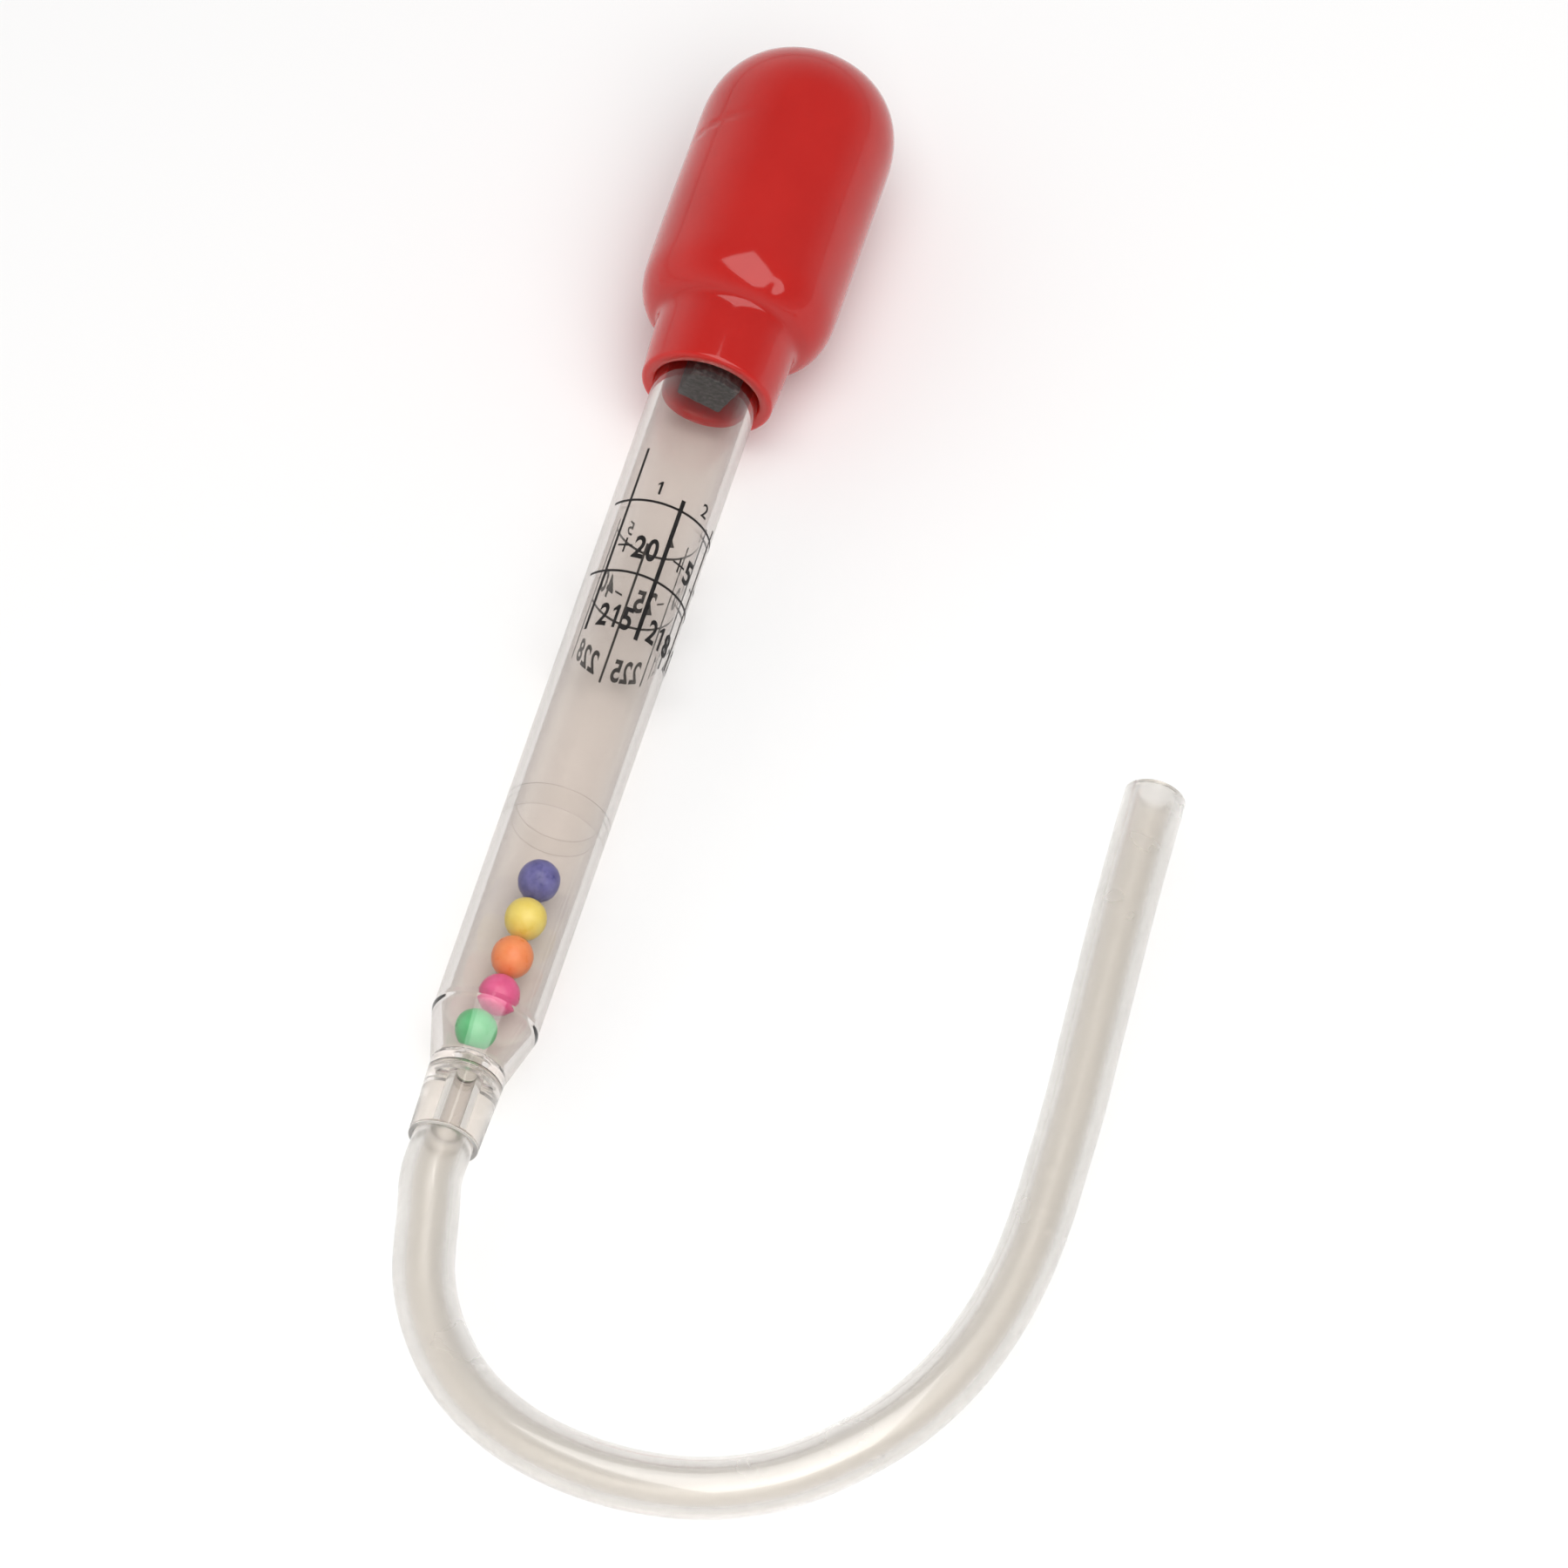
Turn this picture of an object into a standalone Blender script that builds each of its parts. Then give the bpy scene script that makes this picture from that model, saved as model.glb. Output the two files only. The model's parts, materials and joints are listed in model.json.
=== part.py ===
"""Five-ball coolant tester, lying on its side with its suction hose laid out in a J.

A squeeze bulb closes the upper end of a clear barrel. The barrel's lower piece is the ball
chamber, which narrows to a nozzle: an inner nipple inside a collar, with the hose between
them. Five balls lie in the bore, kept in by the chamber's floor and by a stop block.

Turned pieces are drawn as (radius, station) profiles. A station is the distance along the
barrel's axis from the mouth of the hose collar, and grows towards the bulb.
"""

import math

import bmesh
import bpy
from mathutils import Matrix, Vector

GAP = 0.0003                 # left between pieces that touch
SEGMENTS = 32                # facets round a turned piece

# Barrel and ball chamber
BARREL_R = 0.0069
BORE_R = 0.0057
LAP_SPLIT_R = 0.0063         # radius that parts the two halves of the lap joint
LAP_GAP = 0.0001             # each half stays this far from that radius
LAP_LENGTH = 0.0027
JOINT_AT = 0.0510            # upper edge of the ball chamber
BARREL_END_AT = 0.1275
CORNER_AT = 0.0185           # where the chamber's cylinder turns into its cone
CORNER_BEAD = 0.0001
SHOULDER_AT = 0.0108         # where the cone meets the collar
SHOULDER_R = 0.00495
FLOOR_TOP_AT = 0.0120
FLOOR_BOTTOM_AT = 0.0102
FLOOR_R = 0.0036
COLLAR_R = 0.0046
COLLAR_BORE_R = 0.0040
NIPPLE_R = 0.0023
NIPPLE_BORE_R = 0.0014
NIPPLE_END_AT = 0.0009

# Squeeze bulb
BULB_R = 0.0127
BULB_WALL = 0.0016
BULB_MOUTH_AT = 0.1175
BULB_LIP_R = 0.0087
BULB_NECK_BORE_R = BARREL_R + GAP
BULB_LIP_ROUND = 0.0005
PINCH_AT = 0.1272
PINCH_R = 0.0091
BODY_AT = 0.1330             # the shoulder has reached the body's full radius here
DOME_AT = 0.1570             # the straight body ends and the dome starts
DOME_POWER = 2.25            # 2 is a round dome, more is a squarer one
DOME_STEPS = 8
SHOULDER_STEPS = 4

# Stop block
STOP_SIDE = 0.0064
STOP_AT = BULB_MOUTH_AT
STOP_LENGTH = 0.0095
STOP_EDGE = 0.0003
STOP_TURN = math.radians(24)

# Balls, from the nozzle upwards: name, station of the centre, place across and below the axis,
# colour. The lowest one lies to one side of the funnel.
BALL_R = 0.0028
BALL_PITCH = 0.00595
BALL_DROP = BORE_R - BALL_R - GAP
FIRST_ROW_AT = 0.02425
BALL_ROW = (
    ("ball_green", 0.0179, -0.0012, 0.0018, (0.10, 0.56, 0.22)),
    ("ball_pink", FIRST_ROW_AT, 0.0, BALL_DROP, (0.74, 0.08, 0.27)),
    ("ball_orange", FIRST_ROW_AT + BALL_PITCH, 0.0, BALL_DROP, (0.90, 0.27, 0.07)),
    ("ball_yellow", FIRST_ROW_AT + 2 * BALL_PITCH, 0.0, BALL_DROP, (0.86, 0.72, 0.12)),
    ("ball_blue", FIRST_ROW_AT + 3 * BALL_PITCH, 0.0, BALL_DROP, (0.09, 0.09, 0.38)),
)

# Hose: 5/16 in outside, laid on the table
HOSE_R = 0.0079375 / 2
HOSE_Z = 0.0040              # height of its centreline where it lies on the table
HOSE_STEP = 3 * HOSE_R       # distance between its points, one and a half diameters
HOSE_STUB = 0.0050           # leaves the collar square to it for this far

# The tester lies on the chamber's corner and on the bulb's body, so its axis slopes
CORNER_R = BARREL_R + CORNER_BEAD
SLOPE = math.atan2(BULB_R - CORNER_R, BODY_AT - CORNER_AT)
MOUTH_Y = -0.08463           # puts the origin under the middle of the rigid tester
MOUTH_Z = CORNER_R * math.cos(SLOPE) - CORNER_AT * math.sin(SLOPE)

# The hose's route: x and y from the centre of the collar's mouth, z from the table
HOSE_ROUTE = (
    (0.0011, -0.0102, 0.0053), (0.0033, -0.0195, 0.0046), (0.0072, -0.0271, 0.0041),
    (0.0130, -0.0337, HOSE_Z), (0.0206, -0.0384, HOSE_Z), (0.0292, -0.0409, HOSE_Z),
    (0.0381, -0.0414, HOSE_Z), (0.0469, -0.0398, HOSE_Z), (0.0549, -0.0359, HOSE_Z),
    (0.0616, -0.0299, HOSE_Z), (0.0670, -0.0229, HOSE_Z), (0.0709, -0.0150, HOSE_Z),
    (0.0734, -0.0064, HOSE_Z), (0.0747, 0.0025, HOSE_Z), (0.0750, 0.0114, HOSE_Z),
    (0.0747, 0.0204, HOSE_Z), (0.0743, 0.0292, HOSE_Z), (0.0736, 0.0381, HOSE_Z),
    (0.0729, 0.0471, HOSE_Z), (0.0722, 0.0560, HOSE_Z), (0.0716, 0.0649, HOSE_Z),
    (0.0711, 0.0739, HOSE_Z), (0.0709, 0.0780, HOSE_Z),
)


def clear_scene():
    for obj in list(bpy.data.objects):
        bpy.data.objects.remove(obj, do_unlink=True)


def make_material(name, colour, roughness, alpha=1.0):
    material = bpy.data.materials.new(name)
    material.use_nodes = True
    shader = material.node_tree.nodes["Principled BSDF"]
    shader.inputs["Base Color"].default_value = (*colour, 1.0)
    shader.inputs["Roughness"].default_value = roughness
    shader.inputs["Metallic"].default_value = 0.0
    shader.inputs["Alpha"].default_value = alpha
    return material


def add_object(name, data, material, parent=None):
    data.materials.append(material)
    obj = bpy.data.objects.new(name, data)
    bpy.context.collection.objects.link(obj)
    obj.parent = parent
    return obj


def finish_mesh(bm, name, sharp_angle=math.radians(35)):
    bmesh.ops.recalc_face_normals(bm, faces=bm.faces)
    mesh = bpy.data.meshes.new(name)
    bm.to_mesh(mesh)
    bm.free()
    mesh.shade_smooth()
    mesh.set_sharp_from_angle(angle=sharp_angle)
    return mesh


def turned_mesh(name, profile, closed):
    """Spin a (radius, station) profile about Z. An open profile starts and ends on the axis."""
    bm = bmesh.new()
    points = [bm.verts.new((radius, 0.0, station)) for radius, station in profile]
    edges = [bm.edges.new(pair) for pair in zip(points, points[1:])]
    if closed:
        edges.append(bm.edges.new((points[-1], points[0])))
    bmesh.ops.spin(bm, geom=points + edges, cent=(0, 0, 0), axis=(0, 0, 1), dvec=(0, 0, 0),
                   angle=math.tau, steps=SEGMENTS, use_merge=True, use_duplicate=False)
    bmesh.ops.remove_doubles(bm, verts=bm.verts, dist=1e-6)
    return finish_mesh(bm, name)


def dome(radius, base, rise):
    """Outline of the dome from its top on the axis down to its base, as a superellipse."""
    points = []
    for step in range(DOME_STEPS + 1):
        angle = math.pi / 2 * step / DOME_STEPS
        across = math.sin(angle) ** (2 / DOME_POWER)
        along = max(math.cos(angle), 0.0) ** (2 / DOME_POWER)
        points.append((radius * across, base + rise * along))
    points[0] = (0.0, base + rise)
    points[-1] = (radius, base)
    return points


def shoulder(wide_r, wide_at, narrow_r, narrow_at):
    """Quarter ellipse from the straight body in to the pinch, without its first point."""
    points = []
    for step in range(1, SHOULDER_STEPS + 1):
        angle = math.pi / 2 * step / SHOULDER_STEPS
        radius = narrow_r + (wide_r - narrow_r) * math.cos(angle)
        points.append((radius, wide_at - (wide_at - narrow_at) * math.sin(angle)))
    return points


def bulb_profile():
    inner_r = BULB_R - BULB_WALL
    outside = dome(BULB_R, DOME_AT, BULB_R) + [(BULB_R, BODY_AT)]
    outside += shoulder(BULB_R, BODY_AT, PINCH_R, PINCH_AT)
    outside += [(BULB_LIP_R, BULB_MOUTH_AT + BULB_LIP_ROUND),
                (BULB_LIP_R - BULB_LIP_ROUND, BULB_MOUTH_AT)]
    inside = dome(inner_r, DOME_AT, inner_r) + [(inner_r, BODY_AT + BULB_WALL)]
    inside += [(BULB_NECK_BORE_R, PINCH_AT + BULB_WALL), (BULB_NECK_BORE_R, BULB_MOUTH_AT)]
    return outside + inside[::-1]


def barrel_profile():
    spigot_r = LAP_SPLIT_R - LAP_GAP
    spigot_end = JOINT_AT - LAP_LENGTH
    return [(BARREL_R, BARREL_END_AT), (BARREL_R, JOINT_AT + GAP), (spigot_r, JOINT_AT + GAP),
            (spigot_r, spigot_end + GAP), (BORE_R, spigot_end + GAP), (BORE_R, BARREL_END_AT)]


def chamber_profile():
    socket_r = LAP_SPLIT_R + LAP_GAP
    socket_floor = JOINT_AT - LAP_LENGTH
    outside = [(BARREL_R, JOINT_AT), (BARREL_R, CORNER_AT + 4 * CORNER_BEAD),
               (CORNER_R, CORNER_AT), (SHOULDER_R, SHOULDER_AT), (COLLAR_R, 0.0)]
    underside = [(COLLAR_BORE_R, 0.0), (COLLAR_BORE_R, FLOOR_BOTTOM_AT),
                 (NIPPLE_R, FLOOR_BOTTOM_AT), (NIPPLE_R, NIPPLE_END_AT)]
    inside = [(NIPPLE_BORE_R, NIPPLE_END_AT), (NIPPLE_BORE_R, FLOOR_TOP_AT),
              (FLOOR_R, FLOOR_TOP_AT), (BORE_R, CORNER_AT), (BORE_R, socket_floor),
              (socket_r, socket_floor), (socket_r, JOINT_AT)]
    return outside + underside + inside


def ball_mesh(name):
    bm = bmesh.new()
    bmesh.ops.create_uvsphere(bm, u_segments=20, v_segments=12, radius=BALL_R)
    return finish_mesh(bm, name)


def stop_mesh(name):
    """A square block that wedges across the bore and lets air past its flats."""
    bm = bmesh.new()
    bmesh.ops.create_cube(bm, size=1.0)
    bmesh.ops.scale(bm, vec=(STOP_SIDE, STOP_SIDE, STOP_LENGTH), verts=bm.verts)
    bmesh.ops.bevel(bm, geom=bm.edges, offset=STOP_EDGE, segments=1, affect="EDGES")
    return finish_mesh(bm, name)


def catmull_rom(before, start, end, after, share):
    """The point this share of the way from start to end on a smooth curve through the four."""
    tangent_in = (end - before) / 2
    tangent_out = (after - start) / 2
    square = share * share
    cube = square * share
    return (start * (2 * cube - 3 * square + 1) + tangent_in * (cube - 2 * square + share)
            + end * (3 * square - 2 * cube) + tangent_out * (cube - square))


def smooth_route(route, steps=12):
    """Fine points along a smooth curve through the route's own points."""
    padded = [2 * route[0] - route[1]] + route + [2 * route[-1] - route[-2]]
    fine = []
    for index in range(len(route) - 1):
        corners = padded[index:index + 4]
        fine += [catmull_rom(*corners, step / steps) for step in range(steps)]
    return fine + [route[-1]]


def every(fine, spacing):
    """Pick points off a fine curve so that they lie evenly, about this far apart."""
    runs = [0.0]
    for start, end in zip(fine, fine[1:]):
        runs.append(runs[-1] + (end - start).length)
    count = round(runs[-1] / spacing)
    picked = []
    for index in range(count + 1):
        wanted = runs[-1] * index / count
        picked.append(fine[min(range(len(runs)), key=lambda i: abs(runs[i] - wanted))])
    return picked


def hose_points(axis):
    """The hose's centreline: square off the collar, then down onto the table."""
    mouth = Vector((0.0, MOUTH_Y, MOUTH_Z))
    start = mouth - axis * GAP
    stub_end = mouth - axis * HOSE_STUB
    laid = [Vector((x, MOUTH_Y + y, z)) for x, y, z in HOSE_ROUTE]
    fine = smooth_route([start, stub_end] + laid)
    stub_steps = 12
    return [start] + every(fine[stub_steps:], HOSE_STEP)


def hose_curve(name, points):
    curve = bpy.data.curves.new(name, "CURVE")
    curve.dimensions = "3D"
    curve.bevel_depth = HOSE_R
    curve.bevel_resolution = 3
    curve.use_fill_caps = True
    spline = curve.splines.new("POLY")
    spline.points.add(len(points) - 1)
    for point, place in zip(spline.points, points):
        point.co = (*place, 1.0)
    spline.use_smooth = True
    return curve


def main():
    clear_scene()
    red_rubber = make_material("red_rubber", (0.56, 0.022, 0.02), 0.3)
    clear_plastic = make_material("clear_plastic", (0.86, 0.84, 0.81), 0.06, alpha=0.35)
    clear_vinyl = make_material("clear_vinyl", (0.86, 0.85, 0.83), 0.15, alpha=0.4)
    grey_rubber = make_material("grey_rubber", (0.06, 0.056, 0.058), 0.7)

    # Local Z runs up the barrel's axis, local Y points down and local X is the world's X
    axis_frame = bpy.data.objects.new("barrel_axis", None)
    bpy.context.collection.objects.link(axis_frame)
    axis_frame.location = (0.0, MOUTH_Y, MOUTH_Z)
    axis_frame.rotation_euler = (SLOPE - math.pi / 2, 0.0, 0.0)

    bulb = turned_mesh("squeeze_bulb", bulb_profile(), closed=False)
    barrel = turned_mesh("barrel_tube", barrel_profile(), closed=True)
    chamber = turned_mesh("ball_chamber", chamber_profile(), closed=True)
    add_object("squeeze_bulb", bulb, red_rubber, axis_frame)
    add_object("barrel_tube", barrel, clear_plastic, axis_frame)
    add_object("ball_chamber", chamber, clear_plastic, axis_frame)

    stop = add_object("ball_stop", stop_mesh("ball_stop"), grey_rubber, axis_frame)
    stop.location = (0.0, 0.0, STOP_AT + STOP_LENGTH / 2)
    stop.rotation_euler = (0.0, 0.0, STOP_TURN)

    for name, station, across, drop, colour in BALL_ROW:
        ball = add_object(name, ball_mesh(name), make_material(name, colour, 0.35), axis_frame)
        ball.location = (across, drop, station)

    axis = Matrix.Rotation(SLOPE, 3, "X") @ Vector((0.0, 1.0, 0.0))
    add_object("hose", hose_curve("hose", hose_points(axis)), clear_vinyl)
    bpy.context.view_layer.update()


main()
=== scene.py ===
"""Looks of the five-ball coolant tester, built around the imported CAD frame."""

import json
import math

import bmesh
import bpy
from mathutils import Matrix, Vector
from mathutils import noise as turbulence


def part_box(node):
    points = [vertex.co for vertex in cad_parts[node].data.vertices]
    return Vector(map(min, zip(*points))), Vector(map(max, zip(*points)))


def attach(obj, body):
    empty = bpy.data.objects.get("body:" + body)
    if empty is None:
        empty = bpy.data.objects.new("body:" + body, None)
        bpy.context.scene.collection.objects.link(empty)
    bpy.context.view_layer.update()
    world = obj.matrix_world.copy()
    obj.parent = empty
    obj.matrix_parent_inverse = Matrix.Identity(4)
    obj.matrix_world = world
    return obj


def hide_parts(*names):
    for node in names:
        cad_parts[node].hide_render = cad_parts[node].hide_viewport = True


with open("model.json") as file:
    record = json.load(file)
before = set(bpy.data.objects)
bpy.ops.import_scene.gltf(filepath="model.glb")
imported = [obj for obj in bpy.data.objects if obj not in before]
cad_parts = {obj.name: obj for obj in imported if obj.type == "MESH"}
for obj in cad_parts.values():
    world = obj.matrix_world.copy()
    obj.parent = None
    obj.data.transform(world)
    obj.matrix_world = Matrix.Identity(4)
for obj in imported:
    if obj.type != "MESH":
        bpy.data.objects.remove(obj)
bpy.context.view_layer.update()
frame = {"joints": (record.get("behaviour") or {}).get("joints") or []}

BODY = "tester"
SHARP_ANGLE = math.radians(40)    # edges that turn more than this stay sharp

# Barrel's axis: up the barrel from the middle of the hose collar's mouth. Stations are distances
# along it. The blue ball's place in the frame fixes the mouth.
AXIS = Vector(frame["joints"][0]["axis"]).normalized()
BLUE_AT = 0.0421
BORE_R = 0.0057
BALL_LOW, BALL_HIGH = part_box("ball_blue")
BALL_R = (BALL_HIGH.x - BALL_LOW.x) / 2
BALL_CLEARANCE = 0.0003           # between the lying balls and the bore
BALL_DROP = BORE_R - BALL_R - BALL_CLEARANCE
SIDE = Vector((1.0, 0.0, 0.0))
DOWN = AXIS.cross(SIDE).normalized()      # square to the axis, towards the table
DOWN = DOWN if DOWN.z < 0 else -DOWN
TESTER_TURN = Matrix((SIDE, DOWN, AXIS)).transposed().to_4x4()
MOUTH = (BALL_LOW + BALL_HIGH) / 2 - DOWN * BALL_DROP - AXIS * BLUE_AT

# Barrel and ball chamber
BARREL_R = 0.0069
LAP_R = 0.0063                    # radius that parts the two halves of the lap joint
LAP_GAP = 0.00001                 # each half stays this far from that radius
LAP_LENGTH = 0.0027
JOINT_AT = 0.0510
BARREL_END_AT = 0.1275
CORNER_AT = 0.0185
CORNER_R = 0.0070
CORNER_RAMP = 0.0008              # length that takes the barrel's radius to the corner's
SHOULDER_AT = 0.0108
SHOULDER_R = 0.00495
FLOOR_TOP_AT = 0.0120
FLOOR_BOTTOM_AT = 0.0102
FLOOR_R = 0.0036
COLLAR_R = 0.0046
COLLAR_BORE_R = 0.0040
NIPPLE_R = 0.0023
NIPPLE_BORE_R = 0.0014
NIPPLE_END_AT = 0.0009
RIM_ROUND = 0.0003
FINE_ROUND = 0.0001
JOINT_ROUND = 0.00003             # the lap joint's two outer rims
STEP_ROUND = 0.00001              # the lap joint's two inner steps
RAMP_ROUND = 0.0005
OUTER_CORNER_ROUND = 0.0004
SHOULDER_ROUND = 0.0012
NIPPLE_ROUND = 0.0002
FLOOR_ROUND = 0.0006
CONE_ROUND = 0.002
COLLAR_RIM_ROUND = 0.00015
COLLAR_BORE_ROUND = 0.00012
TURNED_SEGMENTS = 128
LONGEST_STRETCH = 0.004
SUPPORT = 0.00003                 # how close to a corner smooth shading is held
# Margins round the faces that have the contact look, and the station where those in the collar end
TOUCH_MARGIN = 0.0001
TOUCH_NARROW = 0.00008
TOUCH_END_AT = 0.0099

# Squeeze bulb
BULB_R = 0.0127
BULB_WALL = 0.0016
BULB_MOUTH_AT = 0.1175
BULB_LIP_R = 0.0087
BULB_NECK_BORE_R = 0.00695
PINCH_AT = 0.1272
PINCH_R = 0.0091
BODY_AT = 0.1330
DOME_AT = 0.1570
DOME_POWER = 2.25
BULB_LIP_ROUND = 0.0006
BULB_NECK_ROUND = 0.0003
BULB_NECK_ABOVE_BARREL = 0.0005
BULB_SEGMENTS = 256
BULB_SHARP_ANGLE = math.radians(60)
NECK_SWELL = 0.0001
PINCH_SOFTEN = 12                 # passes that soften the outline's pinch
BULB_WAVE = 0.00012
BULB_WAVE_SCALE = 75.0
DOME_LEAN = 0.00025
DOME_LEAN_FROM = 0.145
DOME_LEAN_LENGTH = 0.02
DOME_LEAN_MOST = 1.5
# The fold mark's ends, each a turn from the top and a station
FOLD_FROM = (math.radians(-60), 0.1515)
FOLD_TO = (math.radians(-12), 0.1538)
FOLD_DEPTH = 0.00022
FOLD_WIDTH = 0.00028
FOLD_MIDDLE, FOLD_REACH = 0.35, 0.45      # shares of the way between its ends
# Handling marks on the bulb, each a turn from the top, a station, a width and a rise
MARKS = (
    (math.radians(30), 0.1291, 0.0009, -0.00016),
    (math.radians(21), 0.1228, 0.0007, 0.00007),
    (math.radians(-55), 0.1285, 0.0006, 0.00006),
)

# Stop block, cut from a sheet of sponge rubber
STOP_SIDE = 0.0064
STOP_LENGTH = 0.0095
STOP_TURN = math.radians(24)
STOP_ROUND = 0.0003
STOP_GRAIN = 0.00006
STOP_GRAIN_SCALES = (900, 2600)   # coarse and fine
STOP_CUTS = 47

# Hose
HOSE_R = 0.0079375 / 2
HOSE_BORE_R = 0.0047625 / 2
HOSE_Z = 0.0040
HOSE_IN_COLLAR = 0.0098
HOSE_STUB = 0.0050                # straight stretch below the collar's mouth
HOSE_EDGE = 0.00015
HOSE_SEGMENTS = 64
HOSE_STEPS = 8                    # stretches between two points of the route
HOSE_HELD_WITHIN = 0.012          # of the mouth, where its faces can touch the collar and nipple
HOSE_ROUTE = (                    # each point's x, its y from the mouth, and its z
    (0.0011, -0.0102, 0.0053), (0.0033, -0.0195, 0.0046), (0.0072, -0.0271, 0.0041),
    (0.0130, -0.0337, HOSE_Z), (0.0206, -0.0384, HOSE_Z), (0.0292, -0.0409, HOSE_Z),
    (0.0381, -0.0414, HOSE_Z), (0.0469, -0.0398, HOSE_Z), (0.0549, -0.0359, HOSE_Z),
    (0.0616, -0.0299, HOSE_Z), (0.0670, -0.0229, HOSE_Z), (0.0709, -0.0150, HOSE_Z),
    (0.0734, -0.0064, HOSE_Z), (0.0747, 0.0025, HOSE_Z), (0.0750, 0.0114, HOSE_Z),
    (0.0747, 0.0204, HOSE_Z), (0.0743, 0.0292, HOSE_Z), (0.0736, 0.0381, HOSE_Z),
    (0.0729, 0.0471, HOSE_Z), (0.0722, 0.0560, HOSE_Z), (0.0716, 0.0649, HOSE_Z),
    (0.0711, 0.0739, HOSE_Z), (0.0709, 0.0780, HOSE_Z),
)

# Camera
CAMERA_AIM = Vector((0.02435, -0.01508, 0.0))
CAMERA_AZIMUTH = math.radians(16.29)
CAMERA_ELEVATION = math.radians(54.19)
CAMERA_DISTANCE = 4.0
CAMERA_LENS = 723.2
CAMERA_SENSOR = 36.0
CAMERA_CLIP = (0.1, 50.0)

# Stage. The tent of white cloth round the table is brightest low down on the left.
FLOOR_HALF = 3.0
FLOOR_DROP = 0.0001
TENT_DARK_SIDE = (0.35, 0.0, 0.94)
LAMP_PLACE = (0.22, -0.22, 0.8)
LAMP_AIM = (0.02, 0.0, 0.0)
LAMP_SIZE = (0.75, 1.1)
LAMP_POWER = 6.9


# ---------------------------------------------------------------- geometry helpers

def axis_matrix():
    """From the tester's own axes (X side, Y down, Z up the barrel) to the row frame."""
    return Matrix.Translation(MOUTH) @ TESTER_TURN


def new_object(name, mesh, look):
    obj = bpy.data.objects.new(name, mesh)
    bpy.context.scene.collection.objects.link(obj)
    mesh.materials.append(look)
    return obj


def smooth(mesh, angle=SHARP_ANGLE):
    mesh.shade_smooth()
    mesh.set_sharp_from_angle(angle=angle)


def skin(name, rings, poles=()):
    """A mesh through rings of points. poles close its first and last ring; without them the last
    ring joins the first."""
    count = len(rings[0])
    verts = [point for ring in rings for point in ring]
    faces = []
    pairs = len(rings) - 1 if poles else len(rings)
    for row in range(pairs):
        below = row * count
        above = ((row + 1) % len(rings)) * count
        for col in range(count):
            after = (col + 1) % count
            faces.append((below + col, below + after, above + after, above + col))
    if poles:
        first = len(verts)
        verts += list(poles)
        last_row = (len(rings) - 1) * count
        for col in range(count):
            after = (col + 1) % count
            faces.append((first, after, col))
            faces.append((first + 1, last_row + col, last_row + after))
    mesh = bpy.data.meshes.new(name)
    mesh.from_pydata([tuple(v) for v in verts], [], faces)
    mesh.validate()
    bm = bmesh.new()
    bm.from_mesh(mesh)
    bmesh.ops.recalc_face_normals(bm, faces=bm.faces)
    bm.to_mesh(mesh)
    bm.free()
    return mesh


def turns(segments):
    """The angles that part a whole turn into equal segments."""
    return [math.tau * i / segments for i in range(segments)]


def ring(radius, station, segments):
    return [Vector((radius * math.cos(a), radius * math.sin(a), station)) for a in turns(segments)]


def fillet(corners, steps=5):
    """Rounds a closed outline. Each corner is (radius, station, rounding)."""
    points = []
    for index, (x, y, rounding) in enumerate(corners):
        here = Vector((x, y))
        if rounding == 0:
            points.append(here)
            continue
        before = Vector(corners[index - 1][:2])
        after = Vector(corners[(index + 1) % len(corners)][:2])
        into = (before - here).normalized()
        out = (after - here).normalized()
        half = into.angle(out) / 2
        reach = rounding / math.tan(half)
        centre = here + (into + out).normalized() * (rounding / math.sin(half))
        start = here + into * reach - centre
        end = here + out * reach - centre
        sweep = start.angle(end)
        for step in range(steps + 1):
            share = step / steps
            first = math.sin((1 - share) * sweep) / math.sin(sweep)
            second = math.sin(share * sweep) / math.sin(sweep)
            points.append(centre + start * first + end * second)
    return points


def spread(points):
    """Adds points to the closed outline's long stretches, with one close to each corner, so that
    smooth shading stays within the corner."""
    full = []
    for start, end in zip(points, points[1:] + points[:1]):
        length = (end - start).length
        if length < 4 * SUPPORT:
            full.append(start)
            continue
        near, far = start.lerp(end, SUPPORT / length), end.lerp(start, SUPPORT / length)
        pieces = math.ceil(length / LONGEST_STRETCH)
        full += [start] + [near.lerp(far, i / pieces) for i in range(pieces + 1)]
    return full


def turned(name, corners, look, other_looks):
    """A turned piece. other_looks lists the looks that some bands of it have instead, each with
    those bands' least and greatest radius and station."""
    outline = spread(fillet(corners))
    mesh = skin(name, [ring(p.x, p.y, TURNED_SEGMENTS) for p in outline])
    smooth(mesh)
    made = new_object(name, mesh, look)
    for index, (other_look, bands) in enumerate(other_looks):
        mesh.materials.append(other_look)
        for face in mesh.polygons:
            radius = math.hypot(face.center.x, face.center.y)
            for least, greatest, low, high in bands:
                if least < radius < greatest and low < face.center.z < high:
                    face.material_index = index + 1
    mesh.transform(axis_matrix())
    return made


def catmull_rom(before, start, end, after, share):
    tangent_in = (end - before) / 2
    tangent_out = (after - start) / 2
    square = share * share
    cube = square * share
    return (start * (2 * cube - 3 * square + 1) + tangent_in * (cube - 2 * square + share)
            + end * (3 * square - 2 * cube) + tangent_out * (cube - square))


def smooth_route(route, steps):
    padded = [2 * route[0] - route[1]] + list(route) + [2 * route[-1] - route[-2]]
    fine = []
    for index in range(len(route) - 1):
        corners = padded[index:index + 4]
        fine += [catmull_rom(*corners, step / steps) for step in range(steps)]
    return fine + [route[-1]]


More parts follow.
